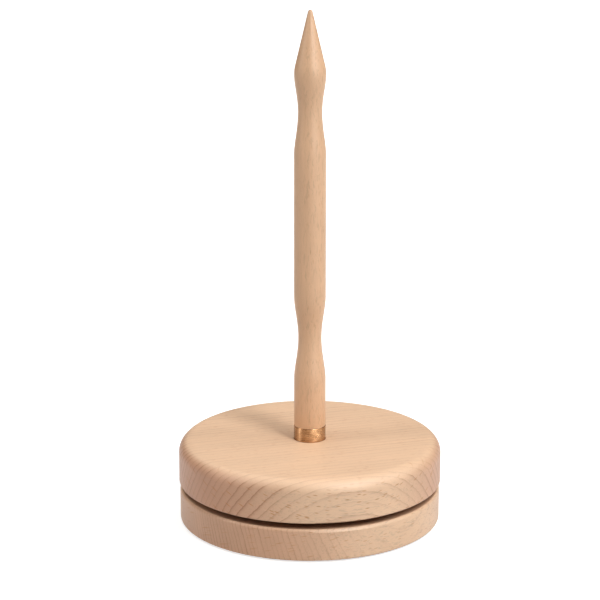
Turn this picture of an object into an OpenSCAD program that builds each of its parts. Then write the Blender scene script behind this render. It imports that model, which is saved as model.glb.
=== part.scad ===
// Revolving yarn dispenser: a turned beech spindle on a beech turntable that spins on a ring of balls.
// Millimetres, +Z up. The origin is on the spin axis, at the level of the surface that the feet stand on.

/* [Lower disc] */
// Diameter of the lower disc
base_d = 149; // [120:1:180]
// Thickness of the lower disc
base_h = 18.5; // [16:0.5:26]
// Rounding of the lower disc's upper edge
base_top_round = 2; // [0.5:0.25:3]
// Rounding of the lower disc's bottom edge
base_bottom_round = 1; // [0.5:0.25:3]

/* [Turntable] */
// Diameter of the turntable
table_d = 150; // [120:1:180]
// Thickness of the turntable
table_h = 24; // [20:0.5:32]
// Rounding of the turntable's upper rim
table_top_round = 7; // [3:0.5:10]
// Rounding of the turntable's bottom edge
table_bottom_round = 0.8; // [0.4:0.2:2]
// Open gap between the two discs
gap_h = 3.5; // [3:0.25:5]

/* [Spindle] */
// Diameter of the shaft and of the foot, which are the turner's full stock
shaft_d = 18; // [17:0.5:22]
// Height of the straight foot above the turntable
foot_l = 35.5; // [28:0.5:50]
// Length of the cove between the foot and the shaft
cove_l = 49; // [30:1:70]
// Diameter at the throat of that cove
cove_d = 13.2; // [11.5:0.1:16]
// Length of the straight shaft
shaft_l = 80.5; // [60:0.5:110]
// Length over which the shaft narrows to the neck
neck_l = 24.5; // [15:0.5:35]
// Diameter of the neck
neck_d = 13.5; // [10:0.1:16]
// Length over which the neck swells to the crest below the point
swell_l = 21; // [14:0.5:30]
// Diameter of the crest
crest_d = 17.8; // [14.5:0.1:18]
// Length of the point, from the crest to the tip
point_l = 35.4; // [25:0.2:50]
// Length over which the crest rounds into the point
crest_blend_l = 4.8; // [2:0.2:8]
// Radius of the tip
tip_r = 1.3; // [0.6:0.1:2.5]

/* [Ferrule and screwed joint] */
// Height of the brass ferrule that shows above the turntable
ferrule_h = 8; // [5:0.5:12]
// Outside diameter of the ferrule
ferrule_d = 18.2; // [18:0.1:20]
// Wall of the ferrule
ferrule_wall = 1.3; // [0.8:0.1:1.6]
// Chamfer on the ferrule's edges, and on the shoulder of the wood above it
ferrule_chamfer = 0.3; // [0.1:0.05:0.5]
// Depth of the seat that the spindle's foot stands in
seat_depth = 1; // [0.5:0.1:2]
// Diameter of the carriage bolt
bolt_d = 8; // [6:0.5:8]
// Length of the bolt that stands inside the spindle
bolt_grip_l = 17; // [15:0.5:24]
// Diameter of the bolt's domed head
bolt_head_d = 18; // [15:0.5:22]
// Height of the bolt's domed head
bolt_head_h = 4.4; // [3:0.2:5]
// Height of the square neck under the head
bolt_neck_h = 4; // [3:0.5:5]
// Depth of the pocket that the head is sunk in
bolt_pocket_depth = 5.4; // [5:0.2:7]
// Outside diameter of the threaded insert in the spindle
insert_d = 11; // [10:0.2:12]
// Length of the threaded insert
insert_l = 15; // [12:0.5:20]
// Diameter of the insert's flange
insert_flange_d = 13.4; // [12.4:0.2:14]
// Thickness of the insert's flange
insert_flange_h = 1.2; // [0.8:0.1:2]

/* [Turntable bearing] */
// Outside diameter of the fixed ring
ring_od = 70; // [68:1:90]
// Bore of the turning ring
ring_id = 30; // [26:1:30]
// Height of each ring
ring_h = 6.5; // [6:0.25:8]
// Step between the two rings, which keeps each clear of the wood that the other is screwed to
ring_step = 1.5; // [1:0.25:2]
// Diameter of the circle that the balls' centres run on
pitch_d = 50; // [49:0.25:52]
// Diameter of the balls
ball_d = 3.5; // [3:0.1:3.6]
// Number of balls
ball_count = 20; // [12:1:24]
// Radial space between the two rings, where the cage runs
ring_space = 1.6; // [1.4:0.1:2]
// Thickness of the cage
cage_wall = 1; // [0.6:0.1:1]
// Height of the cage
cage_h = 4.2; // [4:0.1:5]
// Diameter of the plug that closes the hole where the balls went in
plug_d = 3.8; // [3.6:0.1:4.2]

/* [Fasteners] */
// Number of screws through each ring
ring_screws = 4; // [3:1:6]
// Diameter of the machine screws that hold the fixed ring
base_screw_d = 4; // [3:0.5:5]
// Length of the machine screws, under the head
base_screw_l = 12; // [9:1:13]
// Length of thread inside the fixed ring
base_screw_bite = 4; // [3:0.25:4.5]
// Head diameter of the machine screws
base_screw_head_d = 8; // [7:0.5:9]
// Head height of the machine screws
base_screw_head_h = 2.4; // [2:0.2:3]
// Diameter of the washers under those heads
washer_d = 9; // [9:0.5:10.5]
// Thickness of the washers
washer_h = 0.8; // [0.5:0.1:1.2]
// Circle diameter of the machine screws
base_screw_pcd = 61; // [60:0.5:62]
// Diameter of the wood screws that hold the turning ring
wood_screw_d = 3.5; // [3:0.25:4]
// Length of wood screw inside the turntable
wood_screw_bite = 10; // [7:0.5:13]
// Length of the wood screw's point
wood_screw_point_l = 4; // [2.5:0.5:5]
// Head diameter of the wood screws
wood_screw_head_d = 6.6; // [6:0.2:7.4]
// Circle diameter of the wood screws
wood_screw_pcd = 39; // [38.5:0.25:40]

/* [Feet] */
// Number of rubber feet
feet = 4; // [3:1:6]
// Diameter of each foot
foot_pad_d = 14; // [10:1:18]
// Thickness of each foot
foot_pad_h = 2.5; // [2:0.25:4]
// Height that each foot stands proud of the wood
foot_proud = 1; // [0.5:0.25:1.5]
// Circle diameter of the feet
feet_pcd = 120; // [96:1:124]
// Rounding of each foot's bottom edge
foot_pad_round = 0.4; // [0.2:0.1:0.8]

/* [Hidden] */
$fn = 96;

// Clearances
running_clear = 0.05;
glue_clear = 0.05;
pocket_clear = 0.4;
hole_clear = 0.2;
cut_over = 1;

// Small sizes that nothing else is set by
plug_inset = 0.2;
screw_hole_spare = 0.5;
bolt_hole_spare = 2;
wood_screw_tip_d = 0.6;
cross_slot_l = 3.2;
cross_slot_w = 0.6;
cross_slot_depth = 1;

// Colours
beech = [0.90, 0.75, 0.60];
beech_spindle = [0.85, 0.70, 0.54];
brass = [0.78, 0.55, 0.28];
zinc = [0.74, 0.74, 0.72];
steel = [0.66, 0.67, 0.69];
aluminium = [0.80, 0.81, 0.82];
nylon = [0.93, 0.92, 0.87];
rubber = [0.16, 0.16, 0.16];

// Levels
base_bottom_z = foot_proud;
base_top_z = base_bottom_z + base_h;
table_bottom_z = base_top_z + gap_h;
table_top_z = table_bottom_z + table_h;
seat_z = table_top_z - seat_depth;
ferrule_top_z = table_top_z + ferrule_h;

// Bearing
turning_ring_z = table_bottom_z - ring_h;
fixed_ring_z = turning_ring_z - ring_step;
ball_z = fixed_ring_z + (ring_h + ring_step) / 2;
track_r = ball_d / 2 + running_clear;
turning_ring_r = (pitch_d - ring_space) / 2;
fixed_ring_r = (pitch_d + ring_space) / 2;

// Machine screws, which come up through the lower disc
base_screw_seat_z = fixed_ring_z + base_screw_bite - base_screw_l;
base_screw_hole_depth = base_screw_bite + screw_hole_spare;
base_screw_phase = 180 / ring_screws;

// Carriage bolt and the hollow foot of the spindle
bolt_seat_z = table_bottom_z + bolt_pocket_depth;
bolt_top_z = seat_z + bolt_grip_l;
spindle_hole_top_z = bolt_top_z + bolt_hole_spare;
tenon_r = ferrule_d / 2 - ferrule_wall - glue_clear;

// Heights of the spindle's turned stretches
cove_z = table_top_z + foot_l;
throat_z = cove_z + cove_l / 2;
shaft_z = cove_z + cove_l;
neck_start_z = shaft_z + shaft_l;
neck_z = neck_start_z + neck_l;
crest_z = neck_z + swell_l;
tip_z = crest_z + point_l;
turned_steps = 12;

ball_names = [for (i = [1:ball_count]) str("ball_", i < 10 ? "0" : "", i)];
foot_names = [for (i = [1:feet]) str("foot_", i)];

// Half section of a disc with rounded edges, to be turned about the Y axis
module disc_section(radius, height, top_round, bottom_round) {
    square([radius - top_round, height]);
    square([radius - bottom_round, height - top_round]);
    translate([0, bottom_round]) square([radius, height - top_round - bottom_round]);
    translate([radius - top_round, height - top_round]) circle(top_round);
    translate([radius - bottom_round, bottom_round]) circle(bottom_round);
}

// Copies of the children, evenly spaced on a circle
module around(count, pcd, phase = 0) {
    for (i = [0:count - 1]) {
        rotate([0, 0, phase + 360 * i / count]) translate([pcd / 2, 0, 0]) children();
    }
}

// A plain hole or pin that starts at height z
module bar(d, z, h) {
    translate([0, 0, z]) cylinder(h = h, d = d);
}

// A square bar that starts at height z
module square_bar(side, z, h) {
    translate([-side / 2, -side / 2, z]) cube([side, side, h]);
}

// A flat ring with a round bore
module flat_ring(od, id, z, h) {
    difference() {
        bar(od, z, h);
        bar(id, z - cut_over, h + 2 * cut_over);
    }
}

// The tunnel that the balls roll in, cut half into each ring
module ball_track() {
    translate([0, 0, ball_z]) rotate_extrude() translate([pitch_d / 2, 0]) circle(track_r);
}

// Lower disc: stands still, with a pocket for the fixed ring and counterbores for its screws
module base_disc() {
    pocket_d = ring_od + 2 * pocket_clear;
    seat_above_bottom = base_screw_seat_z - base_bottom_z;
    color(beech) difference() {
        translate([0, 0, base_bottom_z]) rotate_extrude()
            disc_section(base_d / 2, base_h, base_top_round, base_bottom_round);
        bar(pocket_d, fixed_ring_z, base_top_z - fixed_ring_z + cut_over);
        around(ring_screws, base_screw_pcd, base_screw_phase) {
            bar(base_screw_d + 2 * hole_clear, base_bottom_z - cut_over, base_h);
            bar(washer_d + 2 * pocket_clear, base_bottom_z - cut_over, seat_above_bottom + cut_over);
        }
        around(feet, feet_pcd, 180 / feet)
            bar(foot_pad_d + 2 * glue_clear, base_bottom_z - cut_over, foot_pad_h - foot_proud + cut_over);
    }
}

// Fixed ring of the bearing: screwed down in the pocket, with the outer half of the ball track
module fixed_ring() {
    color(aluminium) difference() {
        flat_ring(ring_od, 2 * fixed_ring_r, fixed_ring_z, ring_h);
        ball_track();
        around(ring_screws, base_screw_pcd, base_screw_phase)
            bar(base_screw_d + 2 * glue_clear, fixed_ring_z - cut_over, base_screw_hole_depth + cut_over);
        translate([fixed_ring_r - cut_over, 0, ball_z]) rotate([0, 90, 0])
            cylinder(h = ring_od / 2, d = plug_d + 2 * glue_clear);
    }
}

// Plug in the hole that the balls were dropped through, hollowed to carry on the track
module ball_plug() {
    plug_start = fixed_ring_r + plug_inset;
    plug_end = ring_od / 2 - plug_inset;
    color(steel) difference() {
        translate([plug_start, 0, ball_z]) rotate([0, 90, 0])
            cylinder(h = plug_end - plug_start, d = plug_d);
        ball_track();
    }
}

// Pan-head machine screws that hold the fixed ring from below
module base_screws() {
    head_z = base_screw_seat_z - washer_h - base_screw_head_h;
    socket_d = base_screw_head_d / 2;
    color(steel) around(ring_screws, base_screw_pcd, base_screw_phase) difference() {
        union() {
            bar(base_screw_head_d, head_z, base_screw_head_h);
            bar(base_screw_d, head_z, base_screw_head_h + washer_h + base_screw_l);
        }
        translate([0, 0, head_z - cut_over])
            cylinder(h = base_screw_head_h / 2 + cut_over, d = socket_d, $fn = 6);
    }
}

// Washers between those screw heads and the wood
module base_washers() {
    color(steel) around(ring_screws, base_screw_pcd, base_screw_phase)
        flat_ring(washer_d, base_screw_d + 2 * hole_clear, base_screw_seat_z - washer_h, washer_h);
}

// One rubber foot, glued into its shallow recess under the lower disc
module foot(index) {
    color(rubber) rotate([0, 0, 180 / feet + 360 * (index - 1) / feet]) translate([feet_pcd / 2, 0, 0])
        rotate_extrude() disc_section(foot_pad_d / 2, foot_pad_h, foot_pad_round / 2, foot_pad_round);
}

// Turntable: the rounded upper disc that the yarn stands on
module turntable() {
    screw_hole_depth = wood_screw_bite + hole_clear;
    color(beech) difference() {
        translate([0, 0, table_bottom_z]) rotate_extrude()
            disc_section(table_d / 2, table_h, table_top_round, table_bottom_round);
        bar(ferrule_d + 2 * hole_clear, seat_z, seat_depth + cut_over);
        bar(bolt_d + 2 * hole_clear, table_bottom_z, table_h);
        bar(bolt_head_d + 2 * pocket_clear, table_bottom_z - cut_over, bolt_pocket_depth + cut_over);
        square_bar(bolt_d + 2 * glue_clear, bolt_seat_z - cut_over, bolt_neck_h + cut_over + glue_clear);
        around(ring_screws, wood_screw_pcd)
            bar(wood_screw_d + 2 * glue_clear, table_bottom_z - cut_over, screw_hole_depth + cut_over);
    }
}

// Turning ring of the bearing: screwed up under the turntable, with the inner half of the ball track
module turning_ring() {
    sink_h = (wood_screw_head_d - wood_screw_d) / 2 + hole_clear;
    sink_d = wood_screw_head_d + 2 * hole_clear;
    color(aluminium) difference() {
        flat_ring(2 * turning_ring_r, ring_id, turning_ring_z, ring_h);
        ball_track();
        around(ring_screws, wood_screw_pcd) {
            bar(wood_screw_d + 2 * hole_clear, turning_ring_z - cut_over, ring_h + 2 * cut_over);
            translate([0, 0, turning_ring_z]) cylinder(h = sink_h, d1 = sink_d, d2 = wood_screw_d);
        }
    }
}

// Countersunk wood screws that hold the turning ring
module wood_screws() {
    sink_h = (wood_screw_head_d - wood_screw_d) / 2;
    shank_h = ring_h + wood_screw_bite - wood_screw_point_l;
    color(steel) around(ring_screws, wood_screw_pcd) difference() {
        translate([0, 0, turning_ring_z]) {
            cylinder(h = sink_h, d1 = wood_screw_head_d, d2 = wood_screw_d);
            cylinder(h = shank_h, d = wood_screw_d);
            translate([0, 0, shank_h])
                cylinder(h = wood_screw_point_l, d1 = wood_screw_d, d2 = wood_screw_tip_d);
        }
        for (turn = [0, 90]) rotate([0, 0, turn])
            translate([-cross_slot_l / 2, -cross_slot_w / 2, turning_ring_z - cut_over])
                cube([cross_slot_l, cross_slot_w, cut_over + cross_slot_depth]);
    }
}

// Carriage bolt: its square neck bites into the turntable, and its thread stands up inside the spindle
module carriage_bolt() {
    head_r = bolt_head_d / 2;
    dome_r = (head_r * head_r + bolt_head_h * bolt_head_h) / (2 * bolt_head_h);
    color(steel) union() {
        intersection() {
            bar(bolt_head_d, bolt_seat_z - bolt_head_h, bolt_head_h);
            translate([0, 0, bolt_seat_z - bolt_head_h + dome_r]) sphere(dome_r);
        }
        square_bar(bolt_d, bolt_seat_z - bolt_head_h / 2, bolt_head_h / 2 + bolt_neck_h);
        bar(bolt_d, bolt_seat_z - bolt_head_h / 2, bolt_head_h / 2 + bolt_top_z - bolt_seat_z);
    }
}

// Threaded insert in the spindle's foot, which the bolt screws into
module threaded_insert() {
    color(zinc) difference() {
        union() {
            bar(insert_d, seat_z, insert_l);
            bar(insert_flange_d, seat_z, insert_flange_h);
        }
        bar(bolt_d + 2 * glue_clear, seat_z - cut_over, insert_l + 2 * cut_over);
    }
}

// Brass ferrule round the spindle's tenon
module ferrule() {
    outer_r = ferrule_d / 2;
    inner_r = outer_r - ferrule_wall;
    color(brass) rotate_extrude() polygon([
        [inner_r, seat_z],
        [outer_r - ferrule_chamfer, seat_z],
        [outer_r, seat_z + ferrule_chamfer],
        [outer_r, ferrule_top_z - ferrule_chamfer],
        [outer_r - ferrule_chamfer, ferrule_top_z],
        [inner_r, ferrule_top_z]
    ]);
}

// Rise of a turned cove, from its throat at 0 to its shoulder at 1, level at both ends
function cove_rise(t) = t * t * (2 - t * t);

// Points of a cove's side, from the throat (r0, z0) to the shoulder (r1, z1)
function cove_side(r0, z0, r1, z1) = [
    for (i = [0:turned_steps]) let (t = i / turned_steps)
        [r0 + (r1 - r0) * cove_rise(t), z0 + (z1 - z0) * t]
];

// The same points in the other order
function reversed(points) = [for (i = [len(points) - 1:-1:0]) points[i]];

// Slope of the point's straight flank, which starts level at the crest and ends on the round tip
function flank_slope(guess, rounds = 6) = rounds == 0 ? guess : flank_slope(
    (crest_d / 2 - tip_r * sqrt(1 + guess * guess)) / (point_l - tip_r - crest_blend_l / 2),
    rounds - 1
);

// The crest as it rounds over into the flank
function crest_points(slope) = [
    for (i = [1:turned_steps / 2]) let (z = crest_blend_l * 2 * i / turned_steps)
        [crest_d / 2 - slope * z * z / (2 * crest_blend_l), crest_z + z]
];

// The round tip, from where the flank touches it to the axis
function tip_points(slope) = [
    for (i = [0:turned_steps / 2]) let (a = atan(slope) + (90 - atan(slope)) * 2 * i / turned_steps)
        [i == turned_steps / 2 ? 0 : tip_r * cos(a), tip_z - tip_r + tip_r * sin(a)]
];

// Spindle: one turned beech rod, with a tenon for the ferrule and a blind hole for the insert and the bolt
module spindle() {
    slope = flank_slope(crest_d / 2 / point_l);
    shaft_r = shaft_d / 2;
    outline = concat(
        [[0, seat_z], [tenon_r, seat_z], [tenon_r, ferrule_top_z]],
        [[shaft_r - ferrule_chamfer, ferrule_top_z], [shaft_r, ferrule_top_z + ferrule_chamfer]],
        reversed(cove_side(cove_d / 2, throat_z, shaft_r, cove_z)),
        cove_side(cove_d / 2, throat_z, shaft_r, shaft_z),
        reversed(cove_side(neck_d / 2, neck_z, shaft_r, neck_start_z)),
        cove_side(neck_d / 2, neck_z, crest_d / 2, crest_z),
        crest_points(slope),
        tip_points(slope)
    );
    color(beech_spindle) difference() {
        rotate_extrude() polygon(outline);
        bar(insert_flange_d + 2 * glue_clear, seat_z - cut_over, insert_flange_h + cut_over);
        bar(insert_d + 2 * glue_clear, seat_z - cut_over, insert_l + cut_over);
        bar(bolt_d + 2 * hole_clear, seat_z - cut_over, spindle_hole_top_z - seat_z + cut_over);
    }
}

// Nylon cage that keeps the balls apart
module ball_cage() {
    color(nylon) difference() {
        flat_ring(pitch_d + cage_wall, pitch_d - cage_wall, ball_z - cage_h / 2, cage_h);
        around(ball_count, pitch_d) translate([-cage_wall, 0, ball_z]) rotate([0, 90, 0])
            cylinder(h = 2 * cage_wall, d = ball_d + 2 * running_clear);
    }
}

// One steel ball
module ball(index) {
    color(steel) rotate([0, 0, 360 * (index - 1) / ball_count]) translate([pitch_d / 2, 0, ball_z])
        sphere(d = ball_d);
}

base_disc();
fixed_ring();
ball_plug();
base_screws();
base_washers();
for (i = [1:feet]) foot(i);
turntable();
turning_ring();
wood_screws();
carriage_bolt();
threaded_insert();
ferrule();
spindle();
ball_cage();
for (i = [1:ball_count]) ball(i);
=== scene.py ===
import math

import bmesh
import bpy
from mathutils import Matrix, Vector


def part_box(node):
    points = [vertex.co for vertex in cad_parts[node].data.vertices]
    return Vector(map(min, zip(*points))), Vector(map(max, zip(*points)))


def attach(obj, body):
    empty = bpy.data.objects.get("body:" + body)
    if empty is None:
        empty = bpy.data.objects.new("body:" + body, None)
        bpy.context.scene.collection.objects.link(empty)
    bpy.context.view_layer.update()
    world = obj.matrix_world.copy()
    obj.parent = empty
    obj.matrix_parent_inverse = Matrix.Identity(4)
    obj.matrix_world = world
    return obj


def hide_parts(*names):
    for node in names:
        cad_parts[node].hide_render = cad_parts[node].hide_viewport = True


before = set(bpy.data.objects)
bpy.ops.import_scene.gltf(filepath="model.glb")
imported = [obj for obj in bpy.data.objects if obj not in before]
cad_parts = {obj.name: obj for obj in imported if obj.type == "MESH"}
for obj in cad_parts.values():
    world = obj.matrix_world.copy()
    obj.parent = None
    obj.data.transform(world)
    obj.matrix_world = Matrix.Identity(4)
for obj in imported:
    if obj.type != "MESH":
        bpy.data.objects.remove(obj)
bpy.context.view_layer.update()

# The studio: a camera that looks a little down on the piece, a white paper floor, four soft boxes and
# a strip. Dark flags hide the room from polished metal, and bright cards stand between them. Only
# reflections see the flags and the cards.
camera_place = (0, -1.22207, 0.46435)
camera_aim = (-0.0044, 0.96441, -0.2647)
camera_lens = 134.8
camera_data = bpy.data.cameras.new("camera")
camera_data.lens = camera_lens
camera = bpy.data.objects.new("camera", camera_data)
camera.location = camera_place
camera.rotation_euler = Vector(camera_aim).to_track_quat("-Z", "Y").to_euler()
bpy.context.scene.collection.objects.link(camera)
bpy.context.scene.camera = camera
bpy.context.scene.view_settings.view_transform = "Standard"

# Each lamp's degrees to the right of the camera, degrees up, distance, width, height, watts and tint
lamps = [
    ("soft_box_right", 42, 46, 1.9, 0.5, 0.9, 18.6, (1, 1, 1)),
    ("soft_box_right_side", 84, 40, 1.8, 0.8, 0.9, 6.8, (0.98, 1, 1)),
    ("strip_left", -76, 38, 1.7, 0.5, 1.5, 7.2, (1, 0.97, 0.95)),
    ("soft_box_top", 10, 84, 1.7, 1.4, 1.3, 3.4, (0.985, 0.985, 1)),
    ("soft_box_back", 196, 50, 2.0, 1.4, 1.0, 4.5, (1, 0.99, 0.98)),
]
sky_tint = (1, 0.985, 0.965, 1)
sky_low = 0.15
sky_high = 0.9
sky_dim = 0.03
sky_bright = 0.45
white = (1, 1, 1, 1)
floor_half = 8
floor_drop = 0.00005
paper_grey = (0.55, 0.55, 0.55, 1)
paper_near = 0.25
paper_far = 1.0
paper_glow_near = 0.72
paper_glow_far = 1.0
flag_colour = (26, 22, 19)
card_tint = (1, 0.99, 0.97, 1)
card_distance = 3
card_height = 6
card_step = 2
# Where each flag and card starts and ends, in degrees to the right of the camera, and how bright a card is
flag_sectors = [(-62, 20), (58, 72), (94, 262)]
card_sectors = [("card_right", 20, 58, 4.4), ("card_side", 72, 94, 1.6), ("card_left", -86, -64, 1.7)]


def node(tree, kind, inputs=None, **settings):
    """Adds one node, with its settings, and a value or a link for each input named."""
    made = tree.nodes.new(kind)
    for name, value in settings.items():
        setattr(made, name, value)
    for name, value in (inputs or {}).items():
        if isinstance(value, bpy.types.NodeSocket):
            tree.links.new(value, made.inputs[name])
        else:
            made.inputs[name].default_value = value
    return made


def linear(red, green, blue):
    """A colour as seen on a screen, 0 to 255, in the linear values that shaders take."""
    def one(level):
        share = level / 255
        return share / 12.92 if share <= 0.04045 else ((share + 0.055) / 1.055) ** 2.4
    return (one(red), one(green), one(blue), 1)


def toward(azimuth, elevation, distance):
    """A place seen from the object, by its angle to the right of the camera and its height angle."""
    turn, rise = math.radians(azimuth), math.radians(elevation)
    level = distance * math.cos(rise)
    return Vector((level * math.sin(turn), -level * math.cos(turn), distance * math.sin(rise)))


def new_object(name, mesh):
    made = bpy.data.objects.new(name, mesh)
    bpy.context.scene.collection.objects.link(made)
    return made


def new_material(name):
    material = bpy.data.materials.new(name)
    material.use_nodes = True
    material.node_tree.nodes.clear()
    return material, material.node_tree


def seen_directly(tree):
    """1 for a ray from the camera, from gloss or through glass, and 0 for light that falls on things."""
    path = node(tree, "ShaderNodeLightPath").outputs
    either = node(tree, "ShaderNodeMath", {0: path["Is Camera Ray"], 1: path["Is Glossy Ray"]},
                  operation="MAXIMUM").outputs[0]
    return node(tree, "ShaderNodeMath", {0: either, 1: path["Is Transmission Ray"]},
                operation="MAXIMUM").outputs[0]


for lamp_name, azimuth, elevation, distance, width, height, power, tint in lamps:
    lamp_data = bpy.data.lights.new(lamp_name, "AREA")
    lamp_data.shape = "RECTANGLE"
    lamp_data.size = width
    lamp_data.size_y = height
    lamp_data.energy = power
    lamp_data.color = tint
    lamp = bpy.data.objects.new(lamp_name, lamp_data)
    lamp.location = toward(azimuth, elevation, distance)
    lamp.rotation_euler = (-lamp.location).to_track_quat("-Z", "Y").to_euler()
    bpy.context.scene.collection.objects.link(lamp)

world = bpy.data.worlds.new("studio")
bpy.context.scene.world = world
world.use_nodes = True
sky = world.node_tree
sky.nodes.clear()
sky_direction = node(sky, "ShaderNodeTexCoord").outputs["Generated"]
sky_height = node(sky, "ShaderNodeSeparateXYZ", {0: sky_direction}).outputs["Z"]
room_level = node(sky, "ShaderNodeMapRange", {
    "Value": sky_height, "From Min": sky_low, "From Max": sky_high,
    "To Min": sky_dim, "To Max": sky_bright}).outputs["Result"]
room_light = node(sky, "ShaderNodeBackground", {"Color": sky_tint, "Strength": room_level}).outputs[0]
white_wall = node(sky, "ShaderNodeBackground", {"Color": white, "Strength": 1.0}).outputs[0]
wall_mix = node(sky, "ShaderNodeMixShader", {0: seen_directly(sky), 1: room_light, 2: white_wall})
node(sky, "ShaderNodeOutputWorld", {"Surface": wall_mix.outputs[0]})

floor_material, paper = new_material("white_floor")
paper_light = node(paper, "ShaderNodeBsdfDiffuse", {"Color": paper_grey}).outputs[0]
paper_spot = node(paper, "ShaderNodeTexCoord").outputs["Object"]
paper_reach = node(paper, "ShaderNodeVectorMath", {0: paper_spot}, operation="LENGTH").outputs["Value"]
paper_level = node(paper, "ShaderNodeMapRange", {
    "Value": paper_reach, "From Min": paper_near, "From Max": paper_far,
    "To Min": paper_glow_near, "To Max": paper_glow_far}).outputs["Result"]
paper_glow = node(paper, "ShaderNodeEmission", {"Color": white, "Strength": paper_level}).outputs[0]
paper_sum = node(paper, "ShaderNodeAddShader", {0: paper_light, 1: paper_glow}).outputs[0]
paper_mix = node(paper, "ShaderNodeMixShader", {0: seen_directly(paper), 1: paper_light, 2: paper_sum})
# From below the paper is clear, so that the underside can be looked at
paper_below = node(paper, "ShaderNodeMixShader", {
    0: node(paper, "ShaderNodeNewGeometry").outputs["Backfacing"], 1: paper_mix.outputs[0],
    2: node(paper, "ShaderNodeBsdfTransparent").outputs[0]})
node(paper, "ShaderNodeOutputMaterial", {"Surface": paper_below.outputs[0]})
floor_mesh = bpy.data.meshes.new("floor")
floor_corners = [(-1, -1), (1, -1), (1, 1), (-1, 1)]
floor_mesh.from_pydata([(floor_half * x, floor_half * y, -floor_drop) for x, y in floor_corners], [],
                       [(0, 1, 2, 3)])
floor_mesh.materials.append(floor_material)
new_object("floor", floor_mesh)


def standing_card(name, sectors, colour, strength):
    """A tall curved card round the object, which only polished surfaces see."""
    material, tree = new_material(name)
    glow = node(tree, "ShaderNodeEmission", {"Color": colour, "Strength": strength})
    node(tree, "ShaderNodeOutputMaterial", {"Surface": glow.outputs[0]})
    points, faces = [], []
    for start, end in sectors:
        for angle in range(start, end, card_step):
            first = len(points)
            for edge in (angle, angle + card_step):
                place = toward(edge, 0, card_distance)
                points += [(place.x, place.y, 0), (place.x, place.y, card_height)]
            faces.append((first, first + 2, first + 3, first + 1))
    mesh = bpy.data.meshes.new(name)
    mesh.from_pydata(points, [], faces)
    mesh.materials.append(material)
    card = new_object(name, mesh)
    card.visible_camera = False
    card.visible_diffuse = False
    card.visible_shadow = False
    card.visible_transmission = False


standing_card("dark_flags", flag_sectors, linear(*flag_colour), 1.0)
for card_name, card_start, card_end, card_strength in card_sectors:
    standing_card(card_name, [(card_start, card_end)], card_tint, card_strength)


# Lower disc: a round of beech, 149 mm across, sawn from one plank, turned, sanded and wiped with oil.
# It carries everything and stands still. Its growth rings stand nearly upright and lean a little.
disc_pale = linear(233, 196, 162)
disc_late = linear(168, 112, 82)
disc_ray = linear(188, 122, 68)
disc_end = linear(196, 143, 112)
disc_colours = (disc_pale, disc_late, disc_ray, disc_end)
base_fibre = Vector((0.707, 0.707, 0))
base_ring_normal = Vector((0.683, -0.683, 0.26)).normalized()
base_plank_place = Vector((31, 12, 5))
base_ring_gap = 2.4
base_strengths = (0.85, 0.45, 0.6)
mm_in_metre = 1000.0
base_top_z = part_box("base_disc")[1][2]
table_bottom_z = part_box("turntable")[0][2]
gap_middle = mm_in_metre * (base_top_z + table_bottom_z) / 2
# The dark brown painted on the two faces across the gap, as the shade between the discs
gap_painted_shade = linear(116, 62, 34)


def group(name, takes, gives):
    """Starts a group of nodes with named sockets, each given as its name and kind."""
    tree = bpy.data.node_groups.new(name, "ShaderNodeTree")
    for socket_name, kind in takes:
        tree.interface.new_socket(socket_name, in_out="INPUT", socket_type=kind)
    for socket_name, kind in gives:
        tree.interface.new_socket(socket_name, in_out="OUTPUT", socket_type=kind)
    return tree, tree.nodes.new("NodeGroupInput").outputs, tree.nodes.new("NodeGroupOutput").inputs


def calc(tree, operation, *values, clamp=False):
    made = node(tree, "ShaderNodeMath", dict(enumerate(values)), operation=operation, use_clamp=clamp)
    return made.outputs[0]


def ramp(tree, value, low, high, start=0.0, end=1.0):
    """Eases from start to end as the value goes from low to high."""
    made = node(tree, "ShaderNodeMapRange", {
        "Value": value, "From Min": low, "From Max": high, "To Min": start, "To Max": end},
        interpolation_type="SMOOTHSTEP")
    return made.outputs["Result"]


def along(tree, vector, direction):
    made = node(tree, "ShaderNodeVectorMath", {0: vector, 1: direction}, operation="DOT_PRODUCT")
    return made.outputs["Value"]


def blend(tree, share, first, second):
    """Mixes two colours; the three sockets are the Mix node's share, A and B for colours."""
    made = tree.nodes.new("ShaderNodeMix")
    made.data_type = "RGBA"
    for socket, value in zip((made.inputs[0], made.inputs[6], made.inputs[7]), (share, first, second)):
        if isinstance(value, bpy.types.NodeSocket):
            tree.links.new(value, socket)
        else:
            socket.default_value = value
    return made.outputs[2]


def stretched(tree, parts, lengths):
    """The wood's own coordinates, each divided by the length of the grain feature along it."""
    shares = [calc(tree, "DIVIDE", part, length) for part, length in zip(parts, lengths)]
    return node(tree, "ShaderNodeCombineXYZ", dict(zip("XYZ", shares))).outputs[0]


def noise(tree, parts, lengths, detail=2.0):
    """Noise in the wood's own directions, whose features have the lengths given along them."""
    return node(tree, "ShaderNodeTexNoise", {
        "Vector": stretched(tree, parts, lengths), "Scale": 1.0, "Detail": detail,
        "Roughness": 0.55}).outputs["Fac"]


def stray(tree, parts, lengths, reach):
    """A smooth shift to either side, within the reach from end to end."""
    centred = calc(tree, "SUBTRACT", noise(tree, parts, lengths), 0.5)
    return calc(tree, "MULTIPLY", centred, reach)


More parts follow.
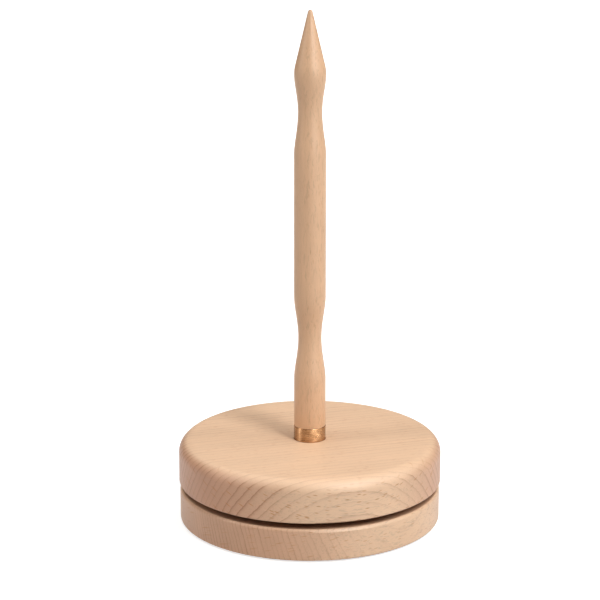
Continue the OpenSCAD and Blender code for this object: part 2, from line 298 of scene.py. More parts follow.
def beech_group():
    """Beech cut from a plank: rings, ray flecks, fibre and end grain, all in the wood's own directions, and
    a painted shade on the two faces across the gap.
    """
    tree, taken, given = group("beech_grain", [
        ("Fibre", "NodeSocketVector"), ("Ring Normal", "NodeSocketVector"),
        ("Ray Sheet", "NodeSocketVector"), ("Plank Place", "NodeSocketVector"),
        ("Ring Gap", "NodeSocketFloat"),
        ("Ring Strength", "NodeSocketFloat"), ("Ray Strength", "NodeSocketFloat"),
        ("Pale Wood", "NodeSocketColor"), ("Late Wood", "NodeSocketColor"), ("Ray", "NodeSocketColor"),
        ("End Grain", "NodeSocketColor"), ("End Strength", "NodeSocketFloat"),
        ("Gap Middle", "NodeSocketFloat"), ("Gap Painted Shade", "NodeSocketColor")],
        [("Colour", "NodeSocketColor"), ("Roughness", "NodeSocketFloat"), ("Height", "NodeSocketFloat")])

    # Lengths of each feature along the fibre, through the rings and across them, in millimetres
    wander_size, wander_reach = (24, 14, 9), 1.1
    ripple_size, ripple_reach = (5, 3, 1.6), 0.8
    good_year_size, good_year_gain = (300, 9, 200), 1.3
    patch_size = (34, 40, 18)
    ray_size = (5.4, 17, 1.05)
    sway_size, sway_reach = (5, 9, 9), 2.4
    streak_size = (8, 0.8, 0.8)
    fibre_size = (7, 0.42, 0.42)
    slow_size = (70, 16, 16)
    pore_size = (1.4, 0.14, 0.14)

    # How sharply a ring darkens, where its dark line ends, and how years and patches differ
    late_power = 7.0
    late_line_end = (0.93, 1.0)
    faint_year = 0.7
    patch_noise, patch_shares = (0.32, 0.66), (0.45, 1.0)
    flat_cut, flat_shares = (0.55, 0.95), (1.0, 0.22)
    sheet_cut, sheet_shares = (0.6, 0.85), (1.0, 0.3)

    # Which cells hold a ray, how far it reaches in its cell, and where it is seen edge on
    ray_pick = (0.6, 0.4, 0.0)
    ray_kept = (0.4, 0.62)
    ray_reach = (0.12, 0.34)
    ray_edge_on = (0.35, 0.8)
    ray_flat_share = 0.3

    # Bands of noise that streaks and pores come from, and how much each feature changes the tone
    streak_noise, streak_depth = (0.52, 0.70), 0.15
    streak_cut, streak_shares = (0.5, 0.85), (0.35, 1.0)
    pore_noise, pore_depth = (0.56, 0.74), 0.05
    fibre_tone, tone_floor = 0.16, 0.94
    slow_tone = 0.20
    end_facing = (0.25, 0.98)
    # The painted gap shade: full within the first distance from the gap's middle, in millimetres, gone by
    # the second, and how strong it is
    painted_shade_edge, painted_shade_depth = (1.8, 2.1), 0.6
    fibre_roughness, least_roughness = 0.16, 0.38
    fibre_relief, pore_relief, ring_relief = 0.6, 0.5, 0.3

    seen = node(tree, "ShaderNodeTexCoord").outputs
    millimetres = node(tree, "ShaderNodeVectorMath", {0: seen["Object"], "Scale": mm_in_metre},
                       operation="SCALE").outputs[0]
    place = node(tree, "ShaderNodeVectorMath", {0: millimetres, 1: taken["Plank Place"]},
                 operation="ADD").outputs[0]
    length = along(tree, place, taken["Fibre"])
    depth = along(tree, place, taken["Ring Normal"])
    across = along(tree, place, taken["Ray Sheet"])
    parts = (length, depth, across)

    # How squarely the surface faces the rings' normal, the rays' normal and the fibre
    flatness = calc(tree, "ABSOLUTE", along(tree, seen["Normal"], taken["Ring Normal"]))
    sheet_flatness = calc(tree, "ABSOLUTE", along(tree, seen["Normal"], taken["Ray Sheet"]))
    end_facing_share = calc(tree, "ABSOLUTE", along(tree, seen["Normal"], taken["Fibre"]))

    # Growth rings, which wander a little and end each year in a thin dark line
    wander = calc(tree, "ADD", stray(tree, parts, wander_size, wander_reach),
                  stray(tree, parts, ripple_size, ripple_reach))
    years = calc(tree, "DIVIDE", calc(tree, "ADD", depth, wander), taken["Ring Gap"])
    good_years = calc(tree, "MULTIPLY", noise(tree, parts, good_year_size, detail=1.0), good_year_gain)
    years = calc(tree, "ADD", years, good_years)
    season = calc(tree, "FRACT", years)
    late = calc(tree, "MULTIPLY", calc(tree, "POWER", season, late_power),
                ramp(tree, season, *late_line_end, 1.0, 0.0))
    year_mark = node(tree, "ShaderNodeTexWhiteNoise", {"W": calc(tree, "FLOOR", years)},
                     noise_dimensions="1D").outputs["Value"]
    late = calc(tree, "MULTIPLY", late, calc(tree, "ADD", year_mark, faint_year))
    patch = ramp(tree, noise(tree, parts, patch_size), *patch_noise, *patch_shares)
    patch = calc(tree, "MULTIPLY", patch, ramp(tree, flatness, *flat_cut, *flat_shares))
    patch = calc(tree, "MULTIPLY", patch, ramp(tree, sheet_flatness, *sheet_cut, *sheet_shares))
    late = calc(tree, "MULTIPLY", calc(tree, "MULTIPLY", late, patch), taken["Ring Strength"], clamp=True)

    # Rays: thin brown lenses that stand across the rings
    cells = node(tree, "ShaderNodeTexVoronoi", {
        "Vector": stretched(tree, parts, ray_size), "Scale": 1.0},
        voronoi_dimensions="3D", feature="F1").outputs
    kept = ramp(tree, along(tree, cells["Color"], ray_pick), *ray_kept)
    fleck = calc(tree, "MULTIPLY", ramp(tree, cells["Distance"], *ray_reach, 1.0, 0.0), kept)
    edge_on = ramp(tree, sheet_flatness, *ray_edge_on, 1.0, ray_flat_share)
    fleck = calc(tree, "MULTIPLY", calc(tree, "MULTIPLY", fleck, edge_on), taken["Ray Strength"],
                 clamp=True)

    # Fibre, dark wavy streaks along it, pores and slow changes of tone
    sway = calc(tree, "MULTIPLY", noise(tree, parts, sway_size), sway_reach)
    swayed = (length, calc(tree, "ADD", depth, sway), calc(tree, "ADD", across, sway))
    streaks = ramp(tree, noise(tree, swayed, streak_size), *streak_noise, 0.0, streak_depth)
    streaks = calc(tree, "MULTIPLY", streaks, ramp(tree, flatness, *streak_cut, *streak_shares))
    fibre = noise(tree, parts, fibre_size, detail=4.0)
    slow = noise(tree, parts, slow_size)
    pores = noise(tree, parts, pore_size, detail=1.0)
    tone = calc(tree, "MULTIPLY_ADD", fibre, fibre_tone, tone_floor)
    tone = calc(tree, "ADD", tone, calc(tree, "MULTIPLY_ADD", slow, slow_tone, -slow_tone / 2))
    marks = calc(tree, "ADD", streaks, ramp(tree, pores, *pore_noise, 0.0, pore_depth))
    tone = calc(tree, "SUBTRACT", tone, marks)

    end_share = calc(tree, "MULTIPLY", ramp(tree, end_facing_share, *end_facing), taken["End Strength"])
    colour = blend(tree, end_share, taken["Pale Wood"], taken["End Grain"])
    colour = blend(tree, late, colour, taken["Late Wood"])
    colour = blend(tree, fleck, colour, taken["Ray"])

    # Painted shade: the two faces that look at each other across the gap are darkened towards a dark brown,
    # in place of the shadow between the discs
    level = node(tree, "ShaderNodeSeparateXYZ", {0: millimetres}).outputs["Z"]
    from_middle = calc(tree, "ABSOLUTE", calc(tree, "SUBTRACT", level, taken["Gap Middle"]))
    painted_gap_shade = ramp(tree, from_middle, *painted_shade_edge, painted_shade_depth, 0.0)
    colour = blend(tree, painted_gap_shade, colour, taken["Gap Painted Shade"])
    shaded = node(tree, "ShaderNodeVectorMath", {0: colour, "Scale": tone}, operation="SCALE").outputs[0]
    tree.links.new(shaded, given["Colour"])
    tree.links.new(calc(tree, "MULTIPLY_ADD", fibre, fibre_roughness, least_roughness),
                   given["Roughness"])
    relief = calc(tree, "SUBTRACT", calc(tree, "MULTIPLY", fibre, fibre_relief),
                  calc(tree, "MULTIPLY", pores, pore_relief))
    relief = calc(tree, "SUBTRACT", relief, calc(tree, "MULTIPLY", late, ring_relief))
    tree.links.new(relief, given["Height"])
    return tree


beech_grain = beech_group()


def finish_surface(tree, shader, height, depth):
    """Gives the shader its relief, in metres, and sends it to the output."""
    relief = node(tree, "ShaderNodeBump", {"Height": height, "Distance": depth, "Strength": 1.0})
    tree.links.new(relief.outputs["Normal"], shader.inputs["Normal"])
    node(tree, "ShaderNodeOutputMaterial", {"Surface": shader.outputs[0]})


def beech(name, fibre, ring_normal, place, ring_gap, strengths, colours):
    """Oiled beech; strengths are for rings, rays and end grain, colours for pale, late, ray and end."""
    oil_gloss = 0.4
    oil_coat = 0.08
    oil_coat_roughness = 0.32
    grain_depth = 0.00004
    material, tree = new_material(name)
    grain = node(tree, "ShaderNodeGroup", {
        "Fibre": fibre, "Ring Normal": ring_normal, "Ray Sheet": fibre.cross(ring_normal),
        "Plank Place": place, "Ring Gap": ring_gap, "Ring Strength": strengths[0],
        "Ray Strength": strengths[1], "End Strength": strengths[2], "Pale Wood": colours[0],
        "Late Wood": colours[1], "Ray": colours[2], "End Grain": colours[3],
        "Gap Middle": gap_middle, "Gap Painted Shade": gap_painted_shade}, node_tree=beech_grain).outputs
    shader = node(tree, "ShaderNodeBsdfPrincipled", {
        "Base Color": grain["Colour"], "Roughness": grain["Roughness"],
        "Specular IOR Level": oil_gloss, "Coat Weight": oil_coat, "Coat Roughness": oil_coat_roughness})
    finish_surface(tree, shader, grain["Height"], grain_depth)
    return material


def dress(name, material):
    """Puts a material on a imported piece, whose mesh stays as it is."""
    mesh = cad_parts[name].data
    mesh.materials.clear()
    mesh.materials.append(material)


dress("base_disc", beech("beech_lower_disc", base_fibre, base_ring_normal, base_plank_place,
                         base_ring_gap, base_strengths, disc_colours))


# Rubber feet: four pads of black rubber, 14 mm across, moulded with a shallow ring and a soft lower edge.
# Each is glued in its own recess under the lower disc and stands 1 mm proud of it.
foot_low, foot_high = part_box("foot_1")
foot_r = (foot_high[0] - foot_low[0]) / 2
foot_circle_r = math.hypot((foot_high[0] + foot_low[0]) / 2, (foot_high[1] + foot_low[1]) / 2)
foot_top = foot_high[2]
foot_edge = 0.0004
foot_top_edge = foot_edge / 2
foot_top_steps = 3
foot_sides = 64
foot_first_angle = math.radians(45)
foot_names = ["foot_1", "foot_2", "foot_3", "foot_4"]
groove_r = foot_r * 0.62
groove_depth = 0.0004
# Points of a turned or threaded form nearer than this are merged, which closes its seam and its ends
seam_width = 0.000002


def geometry_tree(name, takes):
    """Starts a geometry tree that has the sizes given, each as its name and kind."""
    tree = bpy.data.node_groups.new(name, "GeometryNodeTree")
    tree.interface.new_socket("Geometry", in_out="INPUT", socket_type="NodeSocketGeometry")
    for socket_name, kind in takes:
        tree.interface.new_socket(socket_name, in_out="INPUT", socket_type=kind)
    tree.interface.new_socket("Material", in_out="INPUT", socket_type="NodeSocketMaterial")
    tree.interface.new_socket("Geometry", in_out="OUTPUT", socket_type="NodeSocketGeometry")
    return tree, tree.nodes.new("NodeGroupInput").outputs


def finish_tree(tree, geometry, material):
    real = node(tree, "GeometryNodeRealizeInstances", {"Geometry": geometry})
    clad = node(tree, "GeometryNodeSetMaterial", {"Geometry": real.outputs[0], "Material": material})
    tree.links.new(clad.outputs[0], tree.nodes.new("NodeGroupOutput").inputs[0])


def round_the_axis(tree, radius, angle, height):
    """A place given by its distance from the Z axis, its angle about it and its height."""
    return node(tree, "ShaderNodeCombineXYZ", {
        "X": calc(tree, "MULTIPLY", radius, calc(tree, "COSINE", angle)),
        "Y": calc(tree, "MULTIPLY", radius, calc(tree, "SINE", angle)), "Z": height}).outputs[0]


def wrapped_grid(tree, steps, sides):
    """A grid to bend round the Z axis, with each point's step along it and side round it, from 0."""
    rows = calc(tree, "ADD", sides, 1.0)
    grid = node(tree, "GeometryNodeMeshGrid", {
        "Size X": 1.0, "Size Y": 1.0, "Vertices X": steps, "Vertices Y": rows}).outputs["Mesh"]
    index = node(tree, "GeometryNodeInputIndex").outputs[0]
    step = calc(tree, "FLOOR", calc(tree, "DIVIDE", calc(tree, "ADD", index, 0.5), rows))
    side = calc(tree, "SUBTRACT", index, calc(tree, "MULTIPLY", step, rows))
    return grid, step, side


def close_form(tree, grid, place, material):
    bent = node(tree, "GeometryNodeSetPosition", {"Geometry": grid, "Position": place}).outputs[0]
    closed = node(tree, "GeometryNodeMergeByDistance", {"Geometry": bent, "Distance": seam_width})
    finish_tree(tree, closed.outputs[0], material)


def turned_tree():
    """Turns the outline's points about the Z axis, the way a lathe does."""
    tree, taken = geometry_tree("turned_form", [
        ("Outline Points", "NodeSocketInt"), ("Sides", "NodeSocketInt")])
    grid, point, side = wrapped_grid(tree, taken["Outline Points"], taken["Sides"])
    angle = calc(tree, "DIVIDE", calc(tree, "MULTIPLY", side, math.tau), taken["Sides"])
    whole = node(tree, "FunctionNodeFloatToInt", {0: point}, rounding_mode="ROUND").outputs[0]
    sampled = node(tree, "GeometryNodeSampleIndex", data_type="FLOAT_VECTOR", domain="POINT")
    tree.links.new(taken["Geometry"], sampled.inputs["Geometry"])
    tree.links.new(node(tree, "GeometryNodeInputPosition").outputs[0], sampled.inputs["Value"])
    tree.links.new(whole, sampled.inputs["Index"])
    outline = node(tree, "ShaderNodeSeparateXYZ", {0: sampled.outputs[0]}).outputs
    close_form(tree, grid, round_the_axis(tree, outline["X"], angle, outline["Z"]), taken["Material"])
    return tree


def thread_tree():
    """A rod with a rolled thread: the crest climbs one pitch a turn and runs out at both ends."""
    tree, taken = geometry_tree("threaded_rod", [
        ("Start", "NodeSocketFloat"), ("Length", "NodeSocketFloat"), ("Pitch", "NodeSocketFloat"),
        ("Root Radius", "NodeSocketFloat"), ("Crest Radius", "NodeSocketFloat"),
        ("Point Length", "NodeSocketFloat"), ("Point Radius", "NodeSocketFloat"),
        ("Steps", "NodeSocketInt"), ("Sides", "NodeSocketInt")])
    root_flat, crest_flat = 0.12, 0.88
    grid, step, side = wrapped_grid(tree, taken["Steps"], taken["Sides"])
    turn = calc(tree, "DIVIDE", side, taken["Sides"])

    # The first and the last steps close the rod's two ends at its axis
    last = calc(tree, "SUBTRACT", taken["Steps"], 1.0)
    share = calc(tree, "DIVIDE", calc(tree, "SUBTRACT", step, 1.0), calc(tree, "SUBTRACT", last, 2.0),
                 clamp=True)
    height = calc(tree, "MULTIPLY", share, taken["Length"])
    left = calc(tree, "SUBTRACT", taken["Length"], height)
    inside = calc(tree, "MULTIPLY", calc(tree, "GREATER_THAN", step, 0.5),
                  calc(tree, "LESS_THAN", step, calc(tree, "SUBTRACT", last, 0.5)))

    # The ridge rises and falls once in each pitch, and fades within a pitch of each end
    phase = calc(tree, "SUBTRACT", calc(tree, "DIVIDE", height, taken["Pitch"]), turn)
    swing = calc(tree, "MULTIPLY_ADD", calc(tree, "FRACT", phase), 2.0, -1.0)
    ridge = calc(tree, "SUBTRACT", 1.0, calc(tree, "ABSOLUTE", swing))
    ridge = ramp(tree, ridge, root_flat, crest_flat)
    near_end = calc(tree, "MINIMUM", calc(tree, "DIVIDE", height, taken["Pitch"]),
                    calc(tree, "DIVIDE", left, taken["Pitch"]), clamp=True)
    thread_depth = calc(tree, "SUBTRACT", taken["Crest Radius"], taken["Root Radius"])
    gain = calc(tree, "MULTIPLY", thread_depth, calc(tree, "MULTIPLY", ridge, near_end))
    radius = calc(tree, "ADD", taken["Root Radius"], gain)

    # The rod narrows to its point
    narrowing = calc(tree, "DIVIDE", left, taken["Point Length"], clamp=True)
    point_part = calc(tree, "MULTIPLY", calc(tree, "SUBTRACT", 1.0, narrowing), taken["Point Radius"])
    radius = calc(tree, "ADD", calc(tree, "MULTIPLY", radius, narrowing), point_part)
    radius = calc(tree, "MULTIPLY", radius, inside)
    place = round_the_axis(tree, radius, calc(tree, "MULTIPLY", turn, math.tau),
                           calc(tree, "ADD", height, taken["Start"]))
    close_form(tree, grid, place, taken["Material"])
    return tree


def circle_tree():
    """Sets copies of one piece evenly on a circle, each turned to face outwards."""
    tree, taken = geometry_tree("set_round_a_circle", [
        ("Count", "NodeSocketInt"), ("Circle Radius", "NodeSocketFloat"),
        ("First Angle", "NodeSocketFloat")])
    line = node(tree, "GeometryNodeMeshLine", {"Count": taken["Count"]}).outputs[0]
    index = node(tree, "GeometryNodeInputIndex").outputs[0]
    turned_by = calc(tree, "DIVIDE", calc(tree, "MULTIPLY", index, math.tau), taken["Count"])
    angle = calc(tree, "ADD", taken["First Angle"], turned_by)
    place = round_the_axis(tree, taken["Circle Radius"], angle, 0.0)
    spread = node(tree, "GeometryNodeSetPosition", {"Geometry": line, "Position": place}).outputs[0]
    facing = node(tree, "ShaderNodeCombineXYZ", {"Z": angle}).outputs[0]
    copies = node(tree, "GeometryNodeInstanceOnPoints", {
        "Points": spread, "Instance": taken["Geometry"],
        "Rotation": node(tree, "FunctionNodeEulerToRotation", {0: facing}).outputs[0]})
    finish_tree(tree, copies.outputs[0], taken["Material"])
    return tree


turned_form = turned_tree()
threaded_rod = thread_tree()
set_round_a_circle = circle_tree()


def grow(name, start, tree, sizes, material, smooth_angle=35):
    """Runs a geometry tree on a starting mesh and keeps the result as a plain mesh, faces outwards."""
    least_edge = 0.0000001
    maker = new_object(name + "_maker", start)
    modifier = maker.modifiers.new("shape", "NODES")
    modifier.node_group = tree
    keys = {item.name: item.identifier for item in tree.interface.items_tree if item.in_out == "INPUT"}
    for size_name, value in {**sizes, "Material": material}.items():
        modifier[keys[size_name]] = value
    graph = bpy.context.evaluated_depsgraph_get()
    mesh = bpy.data.meshes.new_from_object(maker.evaluated_get(graph))
    maker.modifiers.clear()
    bpy.data.objects.remove(maker)
    work = bmesh.new()
    work.from_mesh(mesh)
    bmesh.ops.dissolve_degenerate(work, edges=work.edges, dist=least_edge)
    bmesh.ops.recalc_face_normals(work, faces=work.faces)
    for face in work.faces:
        face.smooth = True
    for edge in work.edges:
        sharp = len(edge.link_faces) == 2 and edge.calc_face_angle(0) > math.radians(smooth_angle)
        edge.smooth = not sharp
    work.to_mesh(mesh)
    work.free()
    mesh.name = name
    return mesh


def turned(name, outline, material, sides=96, smooth_angle=35):
    """A piece turned from an outline of (radius, height) points in metres."""
    start = bpy.data.meshes.new(name + "_outline")
    start.from_pydata([(radius, 0, height) for radius, height in outline], [], [])
    sizes = {"Outline Points": len(outline), "Sides": sides}
    return grow(name, start, turned_form, sizes, material, smooth_angle)


def round_a_circle(name, mesh, count, radius, first_angle, material):
    return grow(name, mesh, set_round_a_circle,
                {"Count": count, "Circle Radius": radius, "First Angle": first_angle}, material)


def joined(name, meshes):
    """Puts several meshes of one material into one."""
    work = bmesh.new()
    for mesh in meshes:
        work.from_mesh(mesh)
    made = bpy.data.meshes.new(name)
    work.to_mesh(made)
    work.free()
    made.materials.append(meshes[0].materials[0])
    return made


def place_piece(name, mesh, body, replaced):
    """Puts a finished piece in the scene, on its body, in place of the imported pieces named."""
    piece = new_object(name, mesh)
    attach(piece, body)
    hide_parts(*replaced)


def arc(centre_r, centre_z, radius, start, end, steps=6):
    """Points of a round edge, its angles in degrees from level outwards."""
    angles = [math.radians(start + (end - start) * i / steps) for i in range(steps + 1)]
    return [(centre_r + radius * math.cos(a), centre_z + radius * math.sin(a)) for a in angles]


def mould_group():
    """The fine even grain of a moulded piece, with a little dust and wear."""
    tree, taken, given = group("moulded_grain", [
        ("Colour", "NodeSocketColor"), ("Worn Colour", "NodeSocketColor"),
        ("Grain Size", "NodeSocketFloat"), ("Base Roughness", "NodeSocketFloat")],
        [("Colour", "NodeSocketColor"), ("Roughness", "NodeSocketFloat"), ("Height", "NodeSocketFloat")])
    patches_in_metre = 220.0
    worn_noise, worn_depth = (0.42, 0.72), 0.6
    roughness_spread = 0.2
    seen = node(tree, "ShaderNodeTexCoord").outputs["Object"]
    scale = calc(tree, "DIVIDE", 1.0, taken["Grain Size"])
    fine = node(tree, "ShaderNodeTexNoise", {"Vector": seen, "Scale": scale, "Detail": 3.0}).outputs["Fac"]
    broad = node(tree, "ShaderNodeTexNoise", {
        "Vector": seen, "Scale": patches_in_metre, "Detail": 2.0}).outputs["Fac"]
    worn = ramp(tree, broad, *worn_noise, 0.0, worn_depth)
    tree.links.new(blend(tree, worn, taken["Colour"], taken["Worn Colour"]), given["Colour"])
    change = calc(tree, "MULTIPLY_ADD", broad, roughness_spread, -roughness_spread / 2)
    tree.links.new(calc(tree, "ADD", taken["Base Roughness"], change), given["Roughness"])
    tree.links.new(fine, given["Height"])
    return tree


moulded_grain = mould_group()


def moulded(name, colour, worn_colour, grain_size, roughness, relief):
    material, tree = new_material(name)
    grain = node(tree, "ShaderNodeGroup", {
        "Colour": colour, "Worn Colour": worn_colour, "Grain Size": grain_size,
        "Base Roughness": roughness}, node_tree=moulded_grain).outputs
    shader = node(tree, "ShaderNodeBsdfPrincipled", {
        "Base Color": grain["Colour"], "Roughness": grain["Roughness"]})
    finish_surface(tree, shader, grain["Height"], relief)
    return material


rubber = moulded("black_rubber", linear(38, 38, 39), linear(58, 57, 56),
                 grain_size=0.0003, roughness=0.75, relief=0.00004)
foot_outline = [
    (0, 0), (groove_r - groove_depth, 0), (groove_r, groove_depth), (groove_r + groove_depth, 0),
    *arc(foot_r - foot_edge, foot_edge, foot_edge, -90, 0),
    *arc(foot_r - foot_top_edge, foot_top - foot_top_edge, foot_top_edge, 0, 90, foot_top_steps),
    (0, foot_top)]
one_foot = turned("one_foot", foot_outline, rubber, foot_sides)
feet = round_a_circle("rubber_feet", one_foot, len(foot_names), foot_circle_r, foot_first_angle, rubber)
place_piece("rubber_feet", feet, "lower_assembly", foot_names)


# Fixed ring of the bearing: aluminium, faced and bored on a lathe, 70 mm across, screwed in its pocket.
# A short steel plug closes the hole that the balls went in by, and carries on their track.


def machined_group():
    """Metal from the lathe: fine lines round the axis, small changes of tone and light tarnish."""
    tree, taken, given = group("machined_lines", [
        ("Colour", "NodeSocketColor"), ("Tarnish", "NodeSocketColor"), ("Line Width", "NodeSocketFloat"),
        ("Base Roughness", "NodeSocketFloat"), ("Tarnish Strength", "NodeSocketFloat")],
        [("Colour", "NodeSocketColor"), ("Roughness", "NodeSocketFloat"), ("Height", "NodeSocketFloat")])
    clouds_in_metre = 260.0
    dull_noise = (0.4, 0.75)
    roughness_spread = 0.16
    seen = node(tree, "ShaderNodeTexCoord").outputs["Object"]
    part = node(tree, "ShaderNodeSeparateXYZ", {0: seen}).outputs
    radius = calc(tree, "SQRT", calc(tree, "ADD", calc(tree, "MULTIPLY", part["X"], part["X"]),
                                     calc(tree, "MULTIPLY", part["Y"], part["Y"])))
    feed = calc(tree, "DIVIDE", calc(tree, "ADD", radius, part["Z"]), taken["Line Width"])
    lines = node(tree, "ShaderNodeTexNoise", {"W": feed, "Scale": 1.0, "Detail": 1.0},
                 noise_dimensions="1D").outputs["Fac"]
    cloud = node(tree, "ShaderNodeTexNoise", {
        "Vector": seen, "Scale": clouds_in_metre, "Detail": 3.0}).outputs["Fac"]
    dull = calc(tree, "MULTIPLY", ramp(tree, cloud, *dull_noise), taken["Tarnish Strength"])
    tree.links.new(blend(tree, dull, taken["Colour"], taken["Tarnish"]), given["Colour"])
    change = calc(tree, "MULTIPLY_ADD", cloud, roughness_spread, -roughness_spread / 2)
    tree.links.new(calc(tree, "ADD", taken["Base Roughness"], change), given["Roughness"])
    tree.links.new(lines, given["Height"])
    return tree


machined_lines = machined_group()


def metal(name, colour, tarnish, line_width, roughness, tarnish_strength, relief):
    material, tree = new_material(name)
    lines = node(tree, "ShaderNodeGroup", {
        "Colour": colour, "Tarnish": tarnish, "Line Width": line_width, "Base Roughness": roughness,
        "Tarnish Strength": tarnish_strength}, node_tree=machined_lines).outputs
    shader = node(tree, "ShaderNodeBsdfPrincipled", {
        "Base Color": lines["Colour"], "Roughness": lines["Roughness"], "Metallic": 1.0})
    finish_surface(tree, shader, lines["Height"], relief)
    return material


ring_metal = metal("turned_aluminium", linear(206, 207, 209), linear(170, 170, 172),
                   line_width=0.00016, roughness=0.34, tarnish_strength=0.35, relief=0.00001)
plated = metal("zinc_plate", linear(178, 181, 184), linear(150, 150, 140),
               line_width=0.0003, roughness=0.36, tarnish_strength=0.5, relief=0.000008)
dress("fixed_ring", ring_metal)
dress("ball_plug", plated)


# Machine screws and washers: four pan heads with hexagon sockets, zinc plated, driven up from below.
# Their rolled 4 mm threads bite 4 mm into the fixed ring and pull it down on the wood.
screws_low, screws_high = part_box("base_screws")
screw_count = 4
screw_circle_r = 0.0305
screw_first_angle = math.radians(45)
screw_head_r = 0.004
screw_head_h = 0.0024
screw_head_edge = 0.0007
screw_edge_steps = 5
screw_head_sides = 96
screw_shank_r = 0.002
screw_root_r = 0.0016
screw_pitch = 0.0007
screw_end_l = 0.0001
screw_end_r = screw_root_r * 0.9
shank_sunk = 0.0004
under_head_r = screw_shank_r * 0.8
socket_r = 0.002
socket_depth = 0.0012


def socket_head(name, material):
    """A pan head seen from below: a round edge, and a six-sided socket that a key fits."""
    flat = math.radians(60)
    head_z = screws_low[2]
    angles = [math.tau * i / screw_head_sides for i in range(screw_head_sides)]
    round_ring = [1] * screw_head_sides
    socket_ring = [math.cos(flat / 2) / math.cos((a % flat) - flat / 2) for a in angles]
    rows = [(socket_ring, socket_r, head_z + socket_depth), (socket_ring, socket_r, head_z)]
    edge_points = arc(screw_head_r - screw_head_edge, head_z + screw_head_edge, screw_head_edge,
                      -90, 0, screw_edge_steps)
    rows += [(round_ring, radius, height) for radius, height in edge_points]
    rows += [(round_ring, radius, head_z + screw_head_h) for radius in (screw_head_r, under_head_r)]
    work = bmesh.new()
    rings = [[work.verts.new((radius * share * math.cos(a), radius * share * math.sin(a), height))
              for a, share in zip(angles, shares)] for shares, radius, height in rows]
    for lower, upper in zip(rings, rings[1:]):
        for i in range(screw_head_sides):
            j = (i + 1) % screw_head_sides
            work.faces.new((lower[i], lower[j], upper[j], upper[i]))
    work.faces.new(rings[0])
    work.faces.new(rings[-1])
    bmesh.ops.recalc_face_normals(work, faces=work.faces)
    mesh = bpy.data.meshes.new(name)
    work.to_mesh(mesh)
    work.free()
    mesh.materials.append(material)
    return mesh


def thread(name, start, end, pitch, root_r, crest_r, point_l, point_r, material, sides=32):
    """A threaded rod of real pitch, between two heights."""
    steps_in_turn = 8
    end_steps = 3
    smooth_angle = 60
    length = end - start
    sizes = {"Start": start, "Length": length, "Pitch": pitch, "Root Radius": root_r,
             "Crest Radius": crest_r, "Point Length": point_l, "Point Radius": point_r,
             "Steps": round(length / pitch * steps_in_turn) + end_steps, "Sides": sides}
    return grow(name, bpy.data.meshes.new(name + "_start"), threaded_rod, sizes, material, smooth_angle)


screw_thread = thread("screw_thread", screws_low[2] + screw_head_h - shank_sunk, screws_high[2],
                      screw_pitch, screw_root_r, screw_shank_r, screw_end_l, screw_end_r, plated)
one_screw = joined("one_screw", [socket_head("pan_head", plated), screw_thread])
machine_screws = round_a_circle("machine_screws", one_screw, screw_count, screw_circle_r,
                                screw_first_angle, plated)
place_piece("machine_screws", machine_screws, "lower_assembly", ["base_screws"])
dress("base_washers", plated)


# Turning ring of the bearing: aluminium, 48 mm across with a 30 mm bore, screwed up under the turntable.
# It shares the fixed ring's finish, and the balls run between the two.
dress("turning_ring", ring_metal)


# Balls and cage: twenty hardened steel balls of 3.5 mm in a thin nylon cage.
# They roll in the tracks of both rings and go round at a little under half the turntable's speed.
ball_count = 20
ball_names = ["ball_%02d" % number for number in range(1, ball_count + 1)]
ball_low, ball_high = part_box("ball_01")
ball_r = (ball_high[2] - ball_low[2]) / 2
ball_z = (ball_high[2] + ball_low[2]) / 2
ball_circle_r = (ball_high[0] + ball_low[0]) / 2
ball_sides = 32
ball_steps = 20
ball_smooth_angle = 80
ball_steel = metal("polished_balls", linear(196, 199, 203), linear(150, 146, 132),
                   line_width=0.0008, roughness=0.12, tarnish_strength=0.25, relief=0.000001)
nylon = moulded("natural_nylon", linear(232, 229, 217), linear(214, 204, 180),
                grain_size=0.00025, roughness=0.42, relief=0.00001)
ball_outline = [(0, ball_z - ball_r), *arc(0, ball_z, ball_r, -90, 90, ball_steps)[1:-1],
                (0, ball_z + ball_r)]
one_ball = turned("one_ball", ball_outline, ball_steel, ball_sides, ball_smooth_angle)
balls = round_a_circle("bearing_balls", one_ball, ball_count, ball_circle_r, 0.0, ball_steel)
place_piece("bearing_balls", balls, "cage_assembly", ball_names)
dress("ball_cage", nylon)


# Wood screws: four countersunk screws with cross slots, zinc plated, each 16.5 mm long.
# They go up through the turning ring and 10 mm into the turntable.
wood_low, wood_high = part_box("wood_screws")
wood_count = 4
wood_circle_r = 0.0195
wood_head_r = 0.0033
wood_head_edge = 0.0001
wood_head_sides = 96
wood_shank_r = 0.00175
wood_root_r = 0.00118
wood_pitch = 0.0014
wood_point_l = 0.004
wood_point_r = 0.0001
wood_neck_z = wood_low[2] + wood_head_r - wood_shank_r
neck_overlap = 0.0004
thread_inset = 0.0002
slot_half_l = 0.0016
slot_half_w = 0.0003
slot_depth = 0.001


